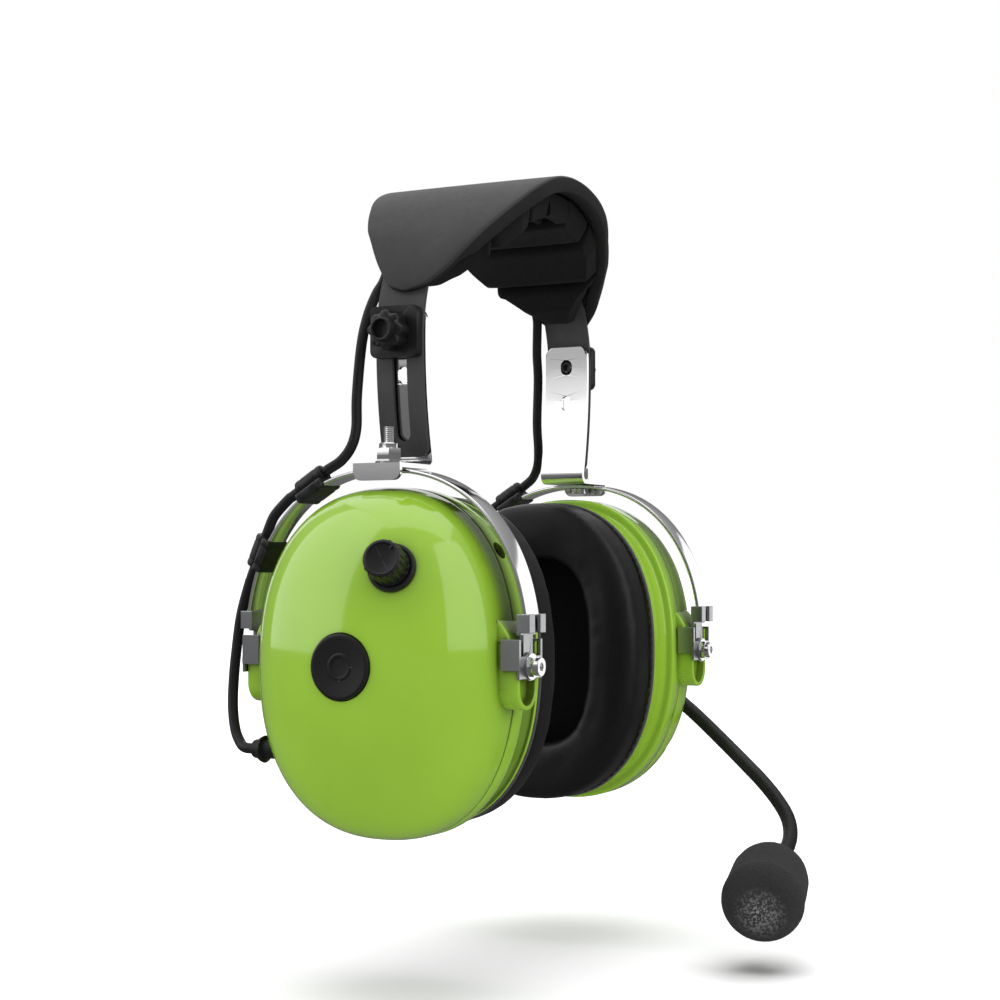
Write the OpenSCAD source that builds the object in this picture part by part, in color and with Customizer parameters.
// Aviation headset: two domed ear cups in sprung steel stirrups, hung from an
// adjustable headband, with a boom microphone, a volume knob and a talk button.
// Origin midway between the two cup tilt axes, +Z up, +X wearer's left,
// -Y wearer's front. Millimetres.

/* [Ear cups] */
// Half distance between the two cup pivot planes
pivot_x = 66.1; // [62:0.1:70]
// Half width of a cup, front to back
cup_half_w = 40.6; // [38:0.1:42]
// Half height of a cup
cup_half_h = 52; // [48:0.1:53]
// Squareness of the cup outline
cup_square = 2.3; // [2:0.1:2.6]
// Height of the outer dome beyond the pivot plane
dome_top = 27.2; // [25:0.1:28]
// Depth of the cup inboard of the pivot plane
rim_depth = 22.3; // [21:0.1:24]
// Depth of the waist under the dome, from the pivot plane
waist_depth = 10; // [9.5:0.1:12]
// Thickness of the cup wall
wall = 2.2; // [1.8:0.1:2.6]
// Height of the joint between the two cup shells, from the pivot plane
seam_level = -3; // [-4:0.1:-2]

/* [Ear cushions] */
// Thickness of an ear cushion
cushion_t = 15.7; // [12:0.1:17]
// Half width of the cushion opening
opening_half_w = 20; // [18:0.5:24]
// Half height of the cushion opening
opening_half_h = 31; // [28:0.5:34]

/* [Stirrups] */
// Half width of the stirrup arch
stirrup_half_w = 48.5; // [48:0.1:49.5]
// Height of the stirrup arch above the tilt axis
stirrup_rise = 57.5; // [56.5:0.1:58.5]
// Width of the stirrup strap
stirrup_w = 8.6; // [8:0.1:9.4]
// Thickness of the stirrup strap
stirrup_t = 1.2; // [1:0.1:1.4]

/* [Headband] */
// Half span of the headband at its widest
band_half_w = 59.6; // [58:0.1:61]
// Height of the headband's widest point
band_z = 97; // [94:0.5:100]
// Height of the top of the headband above its widest point
band_rise = 52.2; // [50:0.1:54]
// Width of the headband strap
band_w = 16; // [14:0.5:17]
// Thickness of the headband strap
band_t = 1.2; // [1:0.1:1.4]
// Radius of the curved lower run that the brackets slide along
slide_r = 160; // [150:1:220]
// Height of the lower end of the strap
band_end = 61.5; // [61:0.5:63]
// Height of the clamp screw when fully retracted
clamp_z = 98.7; // [97:0.1:100]
// Length of the adjusting slot
slot_length = 35; // [30:0.5:36]

/* [Head pad] */
// Half width of the head pad at its middle
pad_half_w = 31; // [28:0.5:34]
// Angle from the top to each tip of the pad
pad_angle = 73.6; // [70:0.1:76]
// Thickness of the foam blocks
pad_foam_t = 8; // [6:0.5:9]

/* [Controls] */
// Position of the volume knob, front to back
knob_y = -14.5; // [-16:0.5:-13]
// Height of the volume knob
knob_z = 28; // [26:0.5:30]
// Upward lean of the volume knob
knob_up = 16.1; // [14:0.1:18]
// Forward lean of the volume knob
knob_fwd = 12.5; // [10:0.1:14]
// Diameter of the talk button
ptt_d = 19.7; // [18:0.1:21]

/* [Boom microphone] */
// Diameter of the gooseneck
boom_d = 4.9; // [4:0.1:6]
// Diameter of the foam windscreen
windscreen_d = 25.6; // [22:0.1:28]
// Length of the foam windscreen
windscreen_l = 31; // [28:0.5:36]

/* [Cables] */
// Diameter of the cup cables
cable_d = 3.2; // [2.8:0.1:3.6]

/* [Hidden] */
$fn = 64;

green = [0.55, 0.76, 0.22];
black = [0.09, 0.09, 0.09];
grey = [0.28, 0.28, 0.29];
steel = [0.80, 0.81, 0.83];
board_green = [0.05, 0.3, 0.14];

right = -1;
left = 1;
front = -1;
rear = 1;
// Radius of the holes for the swivel studs and the pivot screws
stud_hole_r = 1.55;

// ---------- curves ----------
function lerp(a, b, t) = a + (b - a) * t;
function rev(v) = [for (i = [len(v) - 1:-1:0]) v[i]];
function unit(v) = v / norm(v);

// Superellipse with half axes a and b and squareness n
function signed_pow(v, p) = sign(v) * pow(abs(v), p);
function oval_pt(a, b, n, angle) =
    [a * signed_pow(cos(angle), 2 / n), b * signed_pow(sin(angle), 2 / n)];
function oval(a, b, n, points) =
    [for (i = [0:points - 1]) oval_pt(a, b, n, 360 * i / points)];

// Catmull-Rom curve through the points p, k steps to a span
function curve_pt(p, i, t) =
    let (
        n = len(p),
        a = p[max(i - 1, 0)],
        b = p[i],
        c = p[min(i + 1, n - 1)],
        d = p[min(i + 2, n - 1)]
    )
    0.5 * ((2 * b) + (c - a) * t + (2 * a - 5 * b + 4 * c - d) * t * t
        + (3 * b - a - 3 * c + d) * t * t * t);
function spline(p, k) =
    concat([for (i = [0:len(p) - 2], j = [0:k - 1]) curve_pt(p, i, j / k)], [p[len(p) - 1]]);

// Two axes square to the path at each point, carried along without twist
function tangent(p, i) = unit(p[min(i + 1, len(p) - 1)] - p[max(i - 1, 0)]);
function frames(p, i, u) = i >= len(p) ? [] :
    let (t = tangent(p, i), v = unit(u - t * (u * t)))
    concat([[v, cross(t, v)]], frames(p, i + 1, v));

// ---------- solids ----------
// Triangles over a number of spans between n rings of k points
function skin_faces(n, k, spans) =
    [for (i = [0:spans - 1], j = [0:k - 1], half = [0, 1])
        let (
            next_i = (i + 1) % n,
            next_j = (j + 1) % k,
            a = i * k + j,
            b = i * k + next_j,
            c = next_i * k + next_j,
            d = next_i * k + j
        )
        half == 0 ? [c, b, a] : [d, c, a]];
// Skin through a list of rings with the same number of points, capped at both ends
module loft(rings) {
    n = len(rings);
    k = len(rings[0]);
    polyhedron([for (ring = rings, p = ring) p], concat(
        [[for (j = [0:k - 1]) j]],
        skin_faces(n, k, n - 1),
        [[for (j = [k - 1:-1:0]) (n - 1) * k + j]]));
}
// Round section of k sides swept along 3D points
module sweep(path, r, k) {
    axes = frames(path, 0, [1, 0, 0]);
    loft([for (i = [0:len(path) - 1]) [for (j = [0:k - 1])
        path[i] + r * (cos(360 * j / k) * axes[i][0] + sin(360 * j / k) * axes[i][1])]]);
}
// Cylinder along z from height z
module disc(z, h, r) translate([0, 0, z]) cylinder(h = h, r = r);
// Cylinder along x from x
module rod_x(x, h, r) translate([x, 0, 0]) rotate([0, 90, 0]) cylinder(h = h, r = r);
// Long cutter through a side plate, upright, centred at height z
module slot(x, z, length, width) {
    depth = 14;
    straight = length - width;
    translate([x, 0, z]) {
        for (end = [-1, 1])
            translate([0, 0, end * straight / 2])
                rotate([0, 90, 0]) cylinder(h = depth, r = width / 2, center = true);
        cube([depth, width, straight], center = true);
    }
}
// A plate in the YZ plane with rounded corners
module round_plate(x0, x1, half_w, z0, z1, r) {
    translate([x0, 0, 0]) rotate([90, 0, 90]) linear_extrude(x1 - x0) {
        translate([-half_w, z0 + r]) square([2 * half_w, z1 - z0 - 2 * r]);
        translate([-half_w + r, z0]) square([2 * half_w - 2 * r, z1 - z0]);
        for (sy = [-1, 1], z = [z0 + r, z1 - r])
            translate([sy * (half_w - r), z]) circle(r);
    }
}

// Children together with their mirror image
module mirrored(axis = [1, 0, 0]) {
    children();
    mirror(axis) children();
}
// Things built on the wearer's left and mirrored for the right
module on(side) {
    if (side == left) children();
    else mirror([1, 0, 0]) children();
}
// Local z points outward from the cup, local x to the rear, local y up
module cup(side) on(side) translate([pivot_x, 0, 0]) rotate([90, 0, 90]) children();

// ---------- headband ----------
// Centreline: a long-radius lower run, a shoulder and a top arc
shoulder_r = 47;
top_r = (band_half_w * band_half_w + band_rise * band_rise - 2 * band_half_w * shoulder_r)
    / (2 * (band_rise - shoulder_r));
top_z = band_z + band_rise - top_r;
shoulder_ang = atan2(top_r - band_rise, band_half_w - shoulder_r);
slide_cx = band_half_w - slide_r;

// Path points are [x, z, outward normal x, outward normal z].
// Point at an angle from the top, on the shoulder or top arc
function arch(angle) =
    let (s = angle < 0 ? -1 : 1, a = abs(angle))
    a <= 90 - shoulder_ang
        ? [s * top_r * sin(a), top_z + top_r * cos(a), s * sin(a), cos(a)]
        : [s * (band_half_w - shoulder_r + shoulder_r * sin(a)), band_z + shoulder_r * cos(a),
            s * sin(a), cos(a)];
// Point on the left lower run at an angle from the widest point, negative below it
function low(angle) =
    [slide_cx + slide_r * cos(angle), band_z + slide_r * sin(angle), cos(angle), sin(angle)];
function low_ang(z) = asin((z - band_z) / slide_r);

end_ang = low_ang(band_end);
left_path = concat(
    [for (i = [0:9]) low(end_ang * (1 - i / 10))],
    [for (i = [0:29]) arch(90 * (1 - i / 30))]);
band_path = concat(left_path, [arch(0)],
    rev([for (p = left_path) [-p[0], p[1], -p[2], p[3]]]));

function offset_path(path, d) = [for (p = path) [p[0] + d * p[2], p[1] + d * p[3]]];
module ribbon(path, inner, outer, width) {
    rotate([90, 0, 0]) linear_extrude(width, center = true)
        polygon(concat(offset_path(path, outer), rev(offset_path(path, inner))));
}

module headband_strap() color(grey) {
    slot_w = 5;
    corner_r = 3;
    difference() {
        ribbon(band_path, -band_t / 2, band_t / 2, band_w);
        mirrored() {
            slot(band_half_w, clamp_z + slot_w / 2 - slot_length / 2, slot_length + 0.2, slot_w);
            // rounded lower corners
            mirrored([0, 1, 0])
                translate([band_half_w - 3, band_w / 2 - corner_r, band_end + corner_r])
                    difference() {
                        translate([-4, 0, -4]) cube([12, 4, 4]);
                        rotate([0, 90, 0]) cylinder(h = 30, r = corner_r, center = true);
                    }
        }
    }
}

// ---------- head pad ----------
// Pad outline: fraction of the pad angle, fraction of the half width
pad_shape = [
    [0, 1], [0.27, 0.988], [0.38, 0.945], [0.52, 0.83], [0.69, 0.635],
    [0.79, 0.516], [0.885, 0.39], [0.94, 0.29], [0.978, 0.19], [1, 0.085]
];
function pad_y(angle) = pad_half_w * lookup(abs(angle) / pad_angle, pad_shape);
// Point at an angle from the top, at y, and a distance out from the centreline
function pad_pt(angle, y, out) =
    let (p = arch(angle))
    [p[0] + out * p[2], y, p[1] + out * p[3]];

// Channel section with turned-in side rims that shrink towards the tips
function pad_ring(angle) =
    let (
        h = pad_y(angle),
        fullness = min(1, max(0, (h - 13) / 5)),
        rim_w = min(4.5, h * 0.42),
        rim_low = lerp(1.0, -3.2, fullness),
        rim_side = rim_low + 0.02 + 0.5 * fullness,
        crown = lerp(2.6, 3.6, min(1, h / 20)),
        underside = 1.1,
        rear_half = [
            [h - rim_w * 0.35, crown], [h, crown * 0.6], [h, rim_side],
            [h - rim_w * 0.25, rim_low], [h - rim_w * 0.8, rim_low],
            [h - rim_w, rim_side], [h - rim_w, underside]
        ],
        front_half = rev([for (q = rear_half) [-q[0], q[1]]])
    )
    [for (q = concat(rear_half, front_half)) pad_pt(angle, q[0], q[1])];
module head_pad_cover() color(black) {
    n = 16;
    loft([for (i = [-n:n]) pad_ring(pad_angle * sin(90 * i / n))]);
}

// Angles of the joints between the foam blocks
block_angles = [-68, -48.5, -28, 0, 28, 48.5, 68];
last_block = len(block_angles) - 2;
foam_out = -0.8;
// Half width of the foam: square blocks over the crown, tapered ones at the tips
function foam_y(angle) =
    let (a = abs(angle))
    a < 48 ? min(pad_y(angle) - 5.6, 23) : max(3, lerp(13, 4.2, (a - 49) / 19));
function foam_ring(angle, t) =
    let (h = foam_y(angle), chamfer = min(2, h * 0.3))
    [for (q = [
        [-h, foam_out], [h, foam_out], [h, foam_out - t * 0.7],
        [h - chamfer, foam_out - t], [-h + chamfer, foam_out - t], [-h, foam_out - t * 0.7]
    ]) pad_pt(angle, q[0], q[1])];
// Five rings to a block, the first and last thinned to form the joints and tips
module head_pad_foam() color(black) {
    loft([for (block = [0:last_block], k = [0:4])
        let (
            start = block_angles[block] + 0.4,
            end = block_angles[block + 1] - 0.4,
            angle = k == 0 ? start : k == 4 ? end : lerp(start + 1.3, end - 1.3, (k - 1) / 2),
            at_tip = block == 0 && k == 0 || block == last_block && k == 4,
            thinning = at_tip ? 0.3 : k == 0 || k == 4 ? 0.4 : abs(angle) > 60 ? 0.75 : 1
        )
        foam_ring(angle, pad_foam_t * thinning)]);
}

// ---------- sliders ----------
bracket_w = band_w;
bracket_inner = -2.85; // faces of the upright, from the headband centreline
bracket_outer = -1.35;
bracket_top = 106;
foot_z = stirrup_rise + 0.06;
foot_t = 1.4;
bend_inner_r = 1.7;
bend_outer_r = foot_t + bend_inner_r;
bend_z = foot_z + bend_outer_r;
lip_x = 72;
lip_low = 53.8;

// Quarter bend down to the foot, in x and z; it overlaps the upright by 0.01
function bend_pt(x, r, i) =
    let (t = 180 + 90 * i / 8)
    [x + r * cos(t), bend_z + 0.01 + (r + 0.01) * sin(t)];
module bracket(side) color(steel) on(side) {
    half_w = bracket_w / 2;
    foot_top = foot_z + foot_t;
    start = low_ang(bend_z);
    end = low_ang(bracket_top);
    path = [for (i = [0:12]) low(lerp(start, end, i / 12))];
    inner_x = path[0][0] + bracket_inner * path[0][2];
    difference() {
        union() {
            intersection() {
                ribbon(path, bracket_inner, bracket_outer, bracket_w);
                round_plate(40, 70, half_w, 40, bracket_top, 3.5);
            }
            // bend and foot
            rotate([90, 0, 0]) linear_extrude(bracket_w, center = true) polygon(concat(
                [for (i = [0:8]) bend_pt(inner_x + bend_outer_r, bend_outer_r, i)],
                [[inner_x + 6, foot_z], [inner_x + 6, foot_top]],
                [for (i = [8:-1:0]) bend_pt(inner_x + 3.2, bend_inner_r, i)],
                [[inner_x + 1.55, bend_z + 0.9], [inner_x + 0.05, bend_z + 0.9]]));
            translate([inner_x + 4, -half_w, foot_z])
                cube([lip_x + 0.8 - inner_x - 4, bracket_w, foot_t]);
            // turned-down stop lip with rounded corners
            intersection() {
                translate([lip_x, -half_w, lip_low]) cube([foot_t, bracket_w, foot_top - lip_low]);
                round_plate(lip_x - 1, lip_x + 3, half_w, lip_low, 70, 2.6);
            }
            translate([lip_x - 0.6, -half_w, foot_z]) cube([2, bracket_w, foot_t]);
        }
        slot(58, clamp_z, 5.4, 4.3);
        slot(57, 86, 5.4, 3.4);
        translate([pivot_x, 0, 50]) cylinder(h = 20, r = stud_hole_r);
    }
}
module guide_cap(side) color(black) on(side) difference() {
    round_plate(band_half_w + 0.75, band_half_w + 4, bracket_w / 2 + 0.1, 90.9, 106.4, 2.2);
    translate([0, 0, clamp_z]) rod_x(band_half_w, 20, 2.1);
}
module clamp_screw(side) color(steel) on(side) {
    translate([band_half_w - 4.7, 0, clamp_z]) rotate([0, 90, 0]) {
        // socket head
        difference() {
            cylinder(h = 1.7, r = 3.6);
            disc(-0.1, 1.1, 1.5, $fn = 6);
        }
        cylinder(h = 12.8, r = 2);
    }
}
module height_knob(side) color(black) on(side) {
    lobes = 8;
    translate([band_half_w + 4.1, 0, clamp_z]) rotate([0, 90, 0]) difference() {
        union() {
            cylinder(h = 5.6, r = 5.2);
            for (i = [0:lobes - 1])
                rotate(360 / lobes * i) translate([4.9, 0, 0]) cylinder(h = 5.2, r = 1.15, $fn = 24);
            cylinder(h = 7.8, r = 3.6);
        }
        disc(-0.1, 4.3, 2.05);
        disc(5.2, 3, 2.7);
    }
}
module swivel_stud(side) color(steel) on(side) translate([pivot_x, 0, 0]) {
    strap_inner = stirrup_rise - stirrup_t;
    shank_base = strap_inner - 1.2;
    shank_top = 69.9;
    crest_pitch = 0.6;
    disc(strap_inner - 1.78, 1.6, 2.9);
    disc(shank_base, shank_top - shank_base, 1.5);
    // thread crests
    for (i = [0:9]) disc(64.2 + crest_pitch * i, crest_pitch / 2, 1.62);
}
module swivel_nut(side) color(steel) on(side)
    translate([pivot_x, 0, foot_z + foot_t + 0.05]) difference() {
        union() {
            cylinder(h = 0.6, r = 3.6);
            disc(0.5, 2.4, 3.1, $fn = 6);
            cylinder(h = 4.1, r = 2.3);
        }
        disc(-1, 7, 1.51);
    }

// ---------- stirrups ----------
function stirrup_arc(inset, k) = [for (i = [0:k])
    oval_pt(stirrup_half_w - inset, stirrup_rise - inset, cup_square, 180 * i / k)];
module stirrup(side) color(steel) on(side) difference() {
    intersection() {
        translate([pivot_x - stirrup_w / 2, 0, 0]) rotate([90, 0, 90]) linear_extrude(stirrup_w)
            polygon(concat(stirrup_arc(0, 72), rev(stirrup_arc(stirrup_t, 72))));
        // keeps the part above the pivot clips' necks
        translate([0, -60, 9.8]) cube([100, 120, 60]);
    }
    translate([pivot_x, 0, 40]) cylinder(h = 30, r = stud_hole_r);
}

// Sheet clip: crimped round the strap end, with a tongue for the pivot screw
clip_y = 45.1;
clip_t = 1.05;
clip_face = clip_y + clip_t;
module pivot_clip(side, end) color(steel) on(side) translate([pivot_x, 0, 0])
    mirror([0, end == front ? 1 : 0, 0]) {
        half_w = stirrup_w / 2;
        outer_y = 49.2;
        crimp_z = 9.6;
        crimp_h = 5.4;
        difference() {
            union() {
                // tongue and neck
                translate([0, clip_y + clip_t / 2, 0])
                    rotate([90, 0, 0]) cylinder(h = clip_t, r = 3.9, center = true);
                translate([-3, clip_y, 0]) cube([6, clip_t, 10]);
                // crimp: back plate, two side walls and two folded tabs
                translate([-half_w - 1, clip_y, 9]) cube([2 * half_w + 2, clip_t, 6]);
                mirrored() {
                    translate([half_w + 0.1, clip_y, crimp_z])
                        cube([0.9, outer_y - clip_y, crimp_h]);
                    translate([half_w - 2.6, outer_y - 0.95, crimp_z])
                        cube([3.6, 0.95, crimp_h]);
                }
            }
            translate([0, 50, 0])
                rotate([90, 0, 0]) cylinder(h = 20, r = stud_hole_r, center = true);
        }
    }

// ---------- cables ----------
// Distance of the cable axis outside the stirrup strap
cable_off = 3.1;
// Angle of each cable clip along the arch, measured from the rear
clip_angles = [60, 28];

// Point [y, z] on the strap's outer face, and its direction of travel from rear to front
function strap_pt(angle) = oval_pt(stirrup_half_w, stirrup_rise, cup_square, angle);
function strap_dir(angle) = unit(strap_pt(angle + 1) - strap_pt(angle));
// 3D point a distance outside the strap, and a distance along it
function by_strap(angle, out, along = 0) =
    let (p = strap_pt(angle), d = strap_dir(angle))
    [pivot_x, p[0] + out * d[1] + along * d[0], p[1] - out * d[0] + along * d[1]];

// Local y runs along the strap, local z points inward
module cable_clip(angle) {
    p = strap_pt(angle);
    dir = strap_dir(angle);
    length = 13;
    translate([pivot_x, p[0], p[1]]) rotate([atan2(dir[1], dir[0]), 0, 0]) difference() {
        union() {
            // sleeve round the strap, and the tube round the cable outside it
            translate([-stirrup_w / 2 - 1.3, -length / 2, -1.3])
                cube([stirrup_w + 2.6, length, stirrup_t + 3.3]);
            translate([0, 0, -cable_off])
                rotate([90, 0, 0]) cylinder(h = length, r = 2.9, center = true);
        }
        translate([-stirrup_w / 2 - 0.1, -8, -0.55]) cube([stirrup_w + 0.2, 16, stirrup_t + 1.5]);
        translate([0, 0, -cable_off])
            rotate([90, 0, 0]) cylinder(h = 15, r = cable_d / 2 + 0.25, center = true);
    }
}
module cable_clips(side) color(black) on(side) for (angle = clip_angles) cable_clip(angle);

// Cable centreline, x y z: from under the pad, down beside the band to the stirrup
cable_upper = [
    [51.4, 9.4, 118.5], [53.3, 9.7, 115.1], [55.7, 10.9, 111], [58.3, 12.3, 104], [60.6, 13, 95],
    [61.6, 13.9, 80], [62.2, 13.7, 70.5], [63.4, 14.6, 64.8], [64.9, 17.2, 60.5]
];
// Cable centreline, x y z: from the stirrup, behind the cup and into it
cable_lower = [
    [66.9, 52, 14], [67.5, 53.2, 4], [68.5, 53.6, -6], [70, 52.8, -14.5], [72, 50.4, -21.3],
    [73.8, 47, -25.2], [74.8, 44.6, -26.1], [75, 42.6, -26.2], [75, 40, -26.2], [75, 37.4, -26.2]
];
// Straight run through one clip
function clip_run(angle) =
    [for (along = [8.5, 6.5, 0, -6.5, -8.5]) by_strap(angle, cable_off, along)];
module cable(side) color(black) on(side) {
    points = concat(cable_upper, clip_run(clip_angles[0]), [by_strap(43, cable_off + 1.4)],
        clip_run(clip_angles[1]), cable_lower);
    sweep(spline(points, 2), cable_d / 2, 10);
}

// ---------- cup shells ----------
module cup_outline(inset, points = 72)
    polygon(oval(cup_half_w - inset, cup_half_h - inset, cup_square, points));
module cup_slab(level, height, inset, points = 72)
    translate([0, 0, level]) linear_extrude(height) cup_outline(inset, points);
module cup_ring(level, height, outer_inset, inner_inset)
    translate([0, 0, level]) linear_extrude(height) difference() {
        cup_outline(outer_inset);
        cup_outline(inner_inset);
    }

// The dome curve starts this far inboard of the pivot plane
dome_root = 3.9;
dome_h = dome_top + dome_root;
dome_rise_power = 2.75;
dome_width_power = 2.2;
// Heights of the dome sections above the first, as fractions of dome_h
dome_steps = [0.2, 0.38, 0.54, 0.67, 0.78, 0.86, 0.92, 0.965, 0.992];
// Scale of the dome outline at height t, from 0 at its root to 1 at its top
function dome_scale(t) = pow(max(0, 1 - pow(t, dome_rise_power)), 1 / dome_width_power);
module dome_solid(base, inset, points) {
    hull() for (t = concat([(base + dome_root) / dome_h], dome_steps)) {
        size = dome_scale(t);
        translate([0, 0, t * dome_h - dome_root - 0.02 - inset * pow(t, 4)])
            linear_extrude(0.02) polygon(oval(
                max(cup_half_w * size - inset, 0.4), max(cup_half_h * size - inset, 0.5),
                cup_square, points));
    }
}

// Centre of the knob seat on the dome, found from its relative distance off the dome axis
knob_off_axis = pow(pow(abs(knob_y / cup_half_w), cup_square)
    + pow(knob_z / cup_half_h, cup_square), 1 / cup_square);
knob_level = dome_h * pow(1 - pow(knob_off_axis, dome_width_power), 1 / dome_rise_power)
    - dome_root;
module at_knob()
    translate([knob_y, knob_z, knob_level]) rotate([-knob_up, -knob_fwd, 0]) children();

// Jack sockets: rear, up and outward distances, and direction in the cup plane from the rear
right_jack = [-33.3, 33.1, -6.6, 150.7];
left_jack = [-31.6, -34, 7, 211.5];
module at_jack(side) {
    jack = side == right ? right_jack : left_jack;
    translate([jack[0], jack[1], jack[2]]) rotate([0, 90, jack[3]]) children();
}
module jack_hole(side) at_jack(side) disc(-8, 14, 2.75);

// Cable entry: local z points to the rear
module at_cable_entry() translate([0, -26.2, 8.9]) rotate([0, 90, 0]) children();

// Circuit board: level of its inboard face, and its thickness
board_level = 11.4;
board_t = 1.6;
board_top = board_level + board_t;
post_base = board_top + 0.05;
// Circuit board posts: rear and up distances, and height of the top
posts = [[-12, -21, 23.6], [10, -21, 24], [-12, 11, 25], [10, 11, 25.2]];

module outer_shell(side) color(green) cup(side) difference() {
    dome_solid(seam_level + 0.25, 0, 64);
    difference() {
        dome_solid(seam_level - 0.4, wall, 48);
        // solid seat behind the knob, and posts for the board
        if (side == right) {
            at_knob() disc(-5, 6, 6.8);
            for (post = posts)
                translate([post[0], post[1], post_base]) cylinder(h = post[2] - post_base, r = 2.3);
        }
    }
    if (side == right) {
        // screw holes in the posts
        for (post = posts) translate([post[0], post[1], 12]) cylinder(h = 6, r = 1.02);
        // talk button hole, then knob hole and seat
        disc(10, 30, ptt_d / 2 + 0.25);
        at_knob() disc(-12, 30, 3.6);
        at_knob() disc(-0.4, 8, 7.2);
    } else {
        // boom bushing hole
        disc(10, 30, 7.1);
        // jack socket hole, front lower
        jack_hole(side);
    }
    mirrored() rod_x(37, 6, 1.8);
    at_cable_entry() disc(30, 14, 2.9);
}

// ---------- pivot bosses ----------
boss_x = 40.9;
boss_r = 6;
boss_top = 7;
boss_rim_w = 1.4;
boss_rim_h = 5.2;
boss_hole_r = 1.5;
// Distance from the tilt axis down to the centre of the rounded end of each boss
boss_drop = 6.5;
boss_l = boss_top + boss_drop;
// Rear pivot boss: a U-shaped rim round a flat seat
module boss() difference() {
    union() {
        // seat
        translate([boss_x, -boss_drop, -boss_r]) cube([2.6, boss_l, 2 * boss_r]);
        translate([0, -boss_drop, 0]) rod_x(boss_x, 2.6, boss_r);
        translate([38.6, -boss_drop, -boss_r]) cube([4, boss_l, 2.6]);
        rod_x(boss_x, 4.05, 3.4);
        // rim: two straight sides and a half ring below
        mirrored([0, 0, 1]) translate([boss_x, -boss_drop, boss_r - boss_rim_w])
            cube([boss_rim_h, boss_l, boss_rim_w]);
        translate([boss_x, -boss_drop, 0]) rotate([0, 90, 0]) difference() {
            cylinder(h = boss_rim_h, r = boss_r);
            disc(-1, 8, boss_r - boss_rim_w);
            translate([-8, 0, -1]) cube([16, 12, 8]);
        }
    }
    rod_x(38.7, 10, boss_hole_r);
}

// Squareness of the cushion opening and of the hole in the flange behind it
opening_square = 2.2;
module inner_shell(side) color(green) cup(side) difference() {
    tongue_level = seam_level - 2;
    tongue_inner = wall + 1.5;
    union() {
        difference() {
            union() {
                cup_slab(-waist_depth, waist_depth + seam_level - 0.25, 0);
                cup_slab(-rim_depth + 1, rim_depth - waist_depth, 3);
                cup_slab(-rim_depth, 1.6, 1.9);
            }
            cup_slab(-waist_depth + 1.6, 20, wall);
            cup_slab(-rim_depth - 1, 20, 5);
        }
        // tongue that locates the outer shell, and its root
        cup_ring(tongue_level, 4, wall + 0.5, tongue_inner);
        cup_ring(tongue_level, 1, 1, tongue_inner);
        // flange that carries the ear cushion
        translate([0, 0, -rim_depth]) linear_extrude(2) difference() {
            cup_outline(3);
            polygon(oval(27, 37, opening_square, 56));
        }
        mirrored() boss();
    }
    // jack socket hole, front upper
    if (side == right) jack_hole(side);
}

module pivot_screws(side) color(steel) cup(side) mirrored() {
    rod_x(38.9, 10, 1.48);
    // washer, nut and socket head
    rod_x(clip_face + 0.88, 0.5, 3.8);
    rod_x(clip_face + 1.3, 1.4, 3.3, $fn = 6);
    translate([clip_face + 2.6, 0, 0]) rotate([0, 90, 0]) difference() {
        cylinder(h = 1.7, r = 2.6);
        disc(0.6, 2, 1.4, $fn = 6);
    }
}
// Saddle plate under each pivot nut, with a wing folded over each side of the boss
module side_plates(side) color(steel) cup(side) mirrored() difference() {
    plate_x = clip_face + 0.06;
    plate_t = 0.8;
    wing_x = 41.1;
    union() {
        rod_x(plate_x, plate_t, 4.1);
        translate([plate_x, -3.4, -7.3]) cube([plate_t, 6.4, 14.6]);
        mirrored([0, 0, 1])
            translate([wing_x, -1, 6.2]) cube([plate_x + plate_t - wing_x, 8.8, 1.2]);
    }
    rod_x(40, 10, 1.52);
}

// ---------- inside the cups ----------
module baffle(side) color(black) cup(side) difference() {
    cup_slab(-rim_depth + 2.05, 1.8, 5.2, 64);
    disc(-rim_depth - 1, 8, 19.9);
    for (i = [0:5])
        rotate(60 * i + 30) translate([24.5, 0, -rim_depth - 1]) cylinder(h = 8, r = 1.4);
}
module speaker(side) color(grey) cup(side) translate([0, 0, -rim_depth + 1.2]) difference() {
    union() {
        cylinder(h = 2.6, r = 19.8);
        disc(2.65, 1.2, 21.5);
        disc(2.5, 4.5, 17);
        disc(6.9, 4, 9.5);
    }
    disc(-0.1, 0.9, 17.5);
    // ring of holes in the back
    for (i = [0:7]) rotate(45 * i) translate([13.4, 0, 4]) cylinder(h = 6, r = 2);
}
module acoustic_foam(side) color(grey) cup(side) difference() {
    translate([0, 0, -10.5]) linear_extrude(13.5) polygon(oval(34.8, 46, cup_square, 48));
    disc(-12, 16, 14);
    // notch at the front upper jack socket
    if (side == right) translate([-40, 20, -12]) cube([18, 22, 16]);
}

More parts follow.
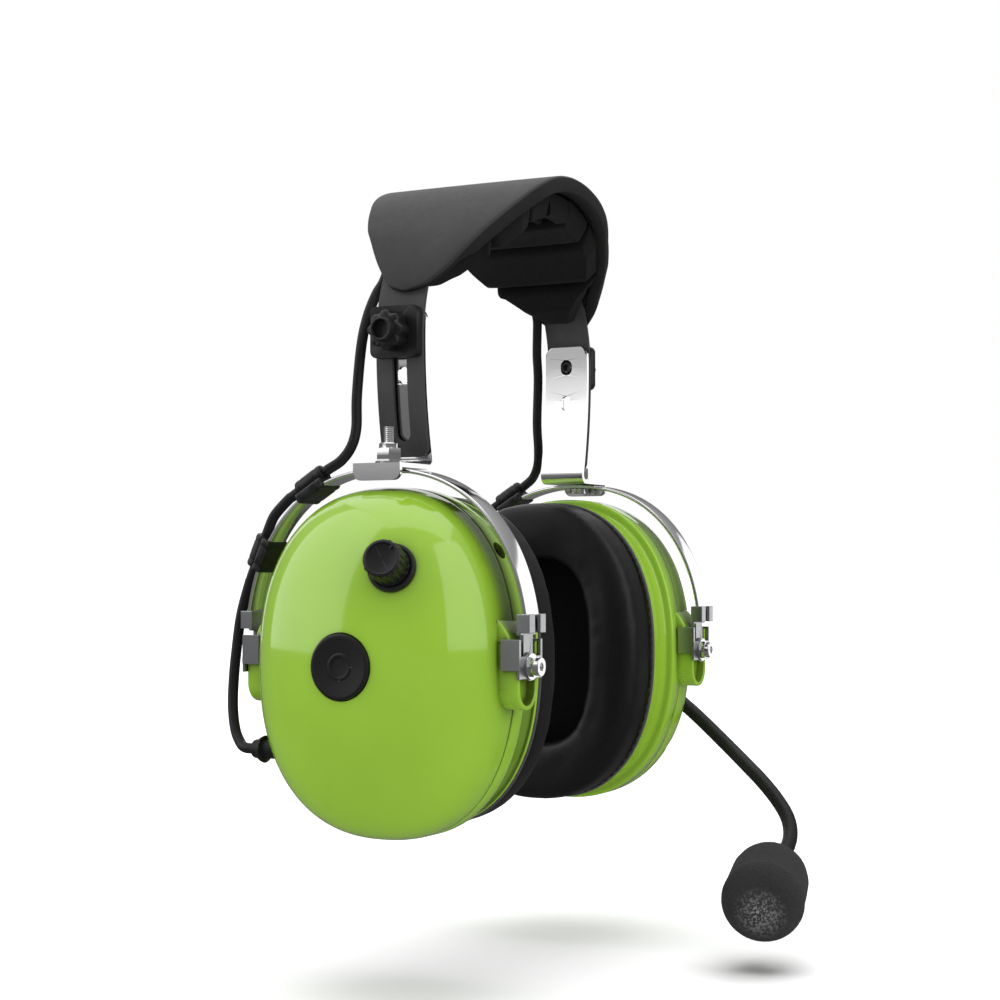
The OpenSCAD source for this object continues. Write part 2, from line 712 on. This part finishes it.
// Cushion section: fraction of the way from the opening to the outside, distance from the rim
function cushion_profile() = concat(
    [[1, 0.1]],
    [for (i = [0:8])
        let (angle = 180 * i / 8, edge_t = lerp(7.4, 4, i / 8))
        [0.5 + 0.5 * signed_pow(cos(angle), 0.8),
            edge_t + (cushion_t - edge_t) * signed_pow(sin(angle), 0.8)]],
    [[0, 0.1]]);
module ear_cushion(side) color(black) cup(side) {
    k = 48;
    profile = cushion_profile();
    outer = oval(cup_half_w - 2.1, cup_half_h - 2.1, cup_square, k);
    inner = oval(opening_half_w, opening_half_h, opening_square, k);
    points = [for (i = [0:k - 1], p = profile)
        [lerp(inner[i][0], outer[i][0], p[0]), lerp(inner[i][1], outer[i][1], p[0]),
            -rim_depth - p[1]]];
    polyhedron(points, skin_faces(k, len(profile), k));
}
module cable_grommet(side) color(black) cup(side) at_cable_entry() difference() {
    union() {
        translate([0, 0, 37.3]) cylinder(h = 1.3, r1 = 4.2, r2 = 3.7);
        translate([0, 0, 38.5]) cylinder(h = 2.6, r1 = 3.2, r2 = 2.7);
        disc(30.6, 7.6, 2.8);
    }
    disc(20, 30, cable_d / 2 + 0.15);
}
module jack_socket(side) color(black) cup(side) at_jack(side) difference() {
    union() {
        disc(-9, 7.6, 2.65);
        disc(-9.5, 4, 3.4);
    }
    disc(-8, 20, 1.8);
}

// ---------- right cup controls ----------
module knob_bezel() color(black) cup(right) at_knob() difference() {
    union() {
        disc(-0.35, 1.9, 7.1);
        disc(-3, 3, 3.5);
    }
    disc(-4, 8, 2.6);
    disc(0.95, 2, 5.9);
}
module volume_pot() color(steel) cup(right) at_knob() {
    // body, bush and shaft
    disc(-10.8, 5.6, 5.4);
    disc(-5.3, 5, 2.5);
    disc(-1, 5.2, 1.5);
    // three terminals
    for (i = [-1:1]) translate([3 * i - 0.5, -8.5, -9.8]) cube([1, 4, 0.5]);
}
module volume_knob() color(black) cup(right) at_knob() difference() {
    ribs = 18;
    union() {
        disc(1.2, 8, 5.1);
        for (i = [0:ribs - 1])
            rotate(360 / ribs * i) translate([5.05, 0, 1.8]) cylinder(h = 6.6, r = 0.42, $fn = 16);
    }
    // shaft bore, dished top and a radial notch
    disc(1, 4.4, 1.56);
    disc(8.7, 3, 4);
    translate([3.2, 0, 8.1]) cube([2.2, 0.7, 2.2], center = true);
}
module ptt_button() color(black) cup(right) {
    difference() {
        union() {
            disc(23.4, 4.5, ptt_d / 2);
            disc(21.6, 1.9, ptt_d / 2 + 1.2);
        }
        // shallow dish in the face
        translate([0, 0, 27.5 + 40]) sphere(r = 40.1, $fn = 96);
        // hollow inboard side
        disc(20, 5.6, 7);
    }
    // stem
    disc(19.45, 6.2, 1.6);
    // raised ring in the middle of the face
    translate([0, 0, 27]) difference() {
        cylinder(h = 0.75, r = 3.6);
        disc(-1, 3, 2.8);
    }
}
module ptt_switch() color(grey) cup(right) {
    base = board_top + 0.1;
    translate([-3, -3, base]) cube([6, 6, 3.6]);
    disc(base + 3.5, 1.6, 1.7);
    // four legs
    for (sx = [-1, 1], sy = [-1, 1])
        translate([sx * 2.3 - 0.3, sy * 3.4 - 0.4, base]) cube([0.6, 0.8, 1.2]);
}
module circuit_board() color(board_green) cup(right) difference() {
    union() {
        translate([-15, -24, board_level]) cube([28, 38, board_t]);
        // two blocks on the outboard face
        translate([-10, -20, board_top - 0.1]) cube([7, 5, 1.2]);
        translate([3, -18, board_top - 0.1]) cube([6, 6, 1.4]);
    }
    for (post = posts) translate([post[0], post[1], 10]) cylinder(h = 5, r = 1.15);
}
module board_screws() color(steel) cup(right) for (post = posts)
    translate([post[0], post[1], board_level - 1.2]) {
        cylinder(h = 7, r = 1);
        difference() {
            cylinder(h = 1.15, r = 2);
            disc(-0.1, 0.7, 0.9, $fn = 6);
        }
    }

// ---------- boom microphone on the left cup ----------
hub_level = 27.6;
// Height of the gooseneck axis above the base of the hub
boom_level = 3.1;
// Direction of the gooseneck outlet in the cup plane, from the rear
outlet_ang = -147;
module boom_bushing() color(steel) cup(left) difference() {
    union() {
        disc(22.7, 4.5, 7);
        disc(22.7, 1.6, 9);
    }
    disc(10, 30, 4.05);
}
module boom_hub() color(black) cup(left) difference() {
    union() {
        disc(hub_level, 6.4, 9.6);
        disc(20, 8, 4);
        // outlet block for the gooseneck
        rotate(outlet_ang) translate([0, -4.6, hub_level + 0.01]) cube([15, 9.2, 6.2]);
    }
    disc(hub_level + 5.2, 3, 6.2);
    rotate(outlet_ang) translate([0, 0, hub_level + boom_level])
        rod_x(6, 20, boom_d / 2 + 0.08);
}
module boom_retainer() color(steel) cup(left) translate([0, 0, 21.2]) difference() {
    cylinder(h = 1.4, r = 6);
    disc(-1, 4, 4.02);
}

hub_x = pivot_x + hub_level + boom_level;
mic_dir = unit([-0.83, -0.12, -0.52]);
mic_tip = [hub_x - 82.8, -88.6, -77.2];
// Gooseneck centreline from the hub: distance inboard of hub_x, then y and z
boom_path = [
    [0, -5.2, -3.4], [0, -14, -9.1], [0.6, -25, -16.2], [3, -36, -23.4],
    [7.6, -48, -31], [15, -60, -38.6], [25.5, -71.2, -45.6], [37, -78.6, -51.2]
];
// Straight end of the gooseneck: distances back from the tip of the windscreen
boom_end = [41, 34, 27, 20, 14.2];
module boom_gooseneck() color(black) {
    points = concat(
        [for (p = boom_path) [hub_x - p[0], p[1], p[2]]],
        [for (back = boom_end) mic_tip - back * mic_dir]);
    sweep(spline(points, 3), boom_d / 2, 16);
}
// Origin at the tip of the windscreen, local z pointing out of it
module at_mic() translate(mic_tip)
    rotate([0, acos(mic_dir[2]), atan2(mic_dir[1], mic_dir[0])]) children();
module mic_capsule() color(steel) at_mic() difference() {
    disc(-14, 9, 4.8);
    disc(-5.8, 2, 3.6);
}
module mic_windscreen() color(black) at_mic() difference() {
    tip_round = 5.4;
    back_round = 7;
    tip_r = windscreen_d / 2;
    back_r = tip_r * 0.87;
    rotate_extrude($fn = 72) polygon(concat(
        [[0, 0]],
        [for (i = [0:8]) let (t = 90 * i / 8)
            [tip_r - tip_round + tip_round * sin(t), -tip_round + tip_round * cos(t)]],
        [for (i = [0:8]) let (t = 90 * i / 8)
            [back_r - back_round + back_round * cos(t),
                -windscreen_l + back_round - back_round * sin(t)]],
        [[0, -windscreen_l]]));
    disc(-14.1, 9.2, 4.9);
    disc(-40, 27, boom_d / 2 + 0.9);
}

headband_strap();
head_pad_cover();
head_pad_foam();
bracket(right);  // right_bracket
guide_cap(right);  // right_guide_cap
clamp_screw(right);  // right_clamp_screw
swivel_stud(right);  // right_swivel_stud
swivel_nut(right);  // right_swivel_nut
height_knob(right);  // right_height_knob
bracket(left);  // left_bracket
guide_cap(left);  // left_guide_cap
clamp_screw(left);  // left_clamp_screw
swivel_stud(left);  // left_swivel_stud
swivel_nut(left);  // left_swivel_nut
height_knob(left);  // left_height_knob
stirrup(right);  // right_stirrup
pivot_clip(right, front);  // right_front_clip
pivot_clip(right, rear);  // right_rear_clip
cable_clips(right);  // right_cable_clips
cable(right);  // right_cable
stirrup(left);  // left_stirrup
pivot_clip(left, front);  // left_front_clip
pivot_clip(left, rear);  // left_rear_clip
cable_clips(left);  // left_cable_clips
cable(left);  // left_cable
outer_shell(right);  // right_outer_shell
inner_shell(right);  // right_inner_shell
pivot_screws(right);  // right_pivot_screws
side_plates(right);  // right_side_plates
baffle(right);  // right_baffle
speaker(right);  // right_speaker
acoustic_foam(right);  // right_acoustic_foam
ear_cushion(right);  // right_ear_cushion
cable_grommet(right);  // right_cable_grommet
jack_socket(right);  // right_jack_socket
outer_shell(left);  // left_outer_shell
inner_shell(left);  // left_inner_shell
pivot_screws(left);  // left_pivot_screws
side_plates(left);  // left_side_plates
baffle(left);  // left_baffle
speaker(left);  // left_speaker
acoustic_foam(left);  // left_acoustic_foam
ear_cushion(left);  // left_ear_cushion
cable_grommet(left);  // left_cable_grommet
jack_socket(left);  // left_jack_socket
knob_bezel();
volume_pot();
volume_knob();
ptt_button();
ptt_switch();
circuit_board();
board_screws();
boom_bushing();
boom_hub();
boom_retainer();
boom_gooseneck();
mic_capsule();
mic_windscreen();
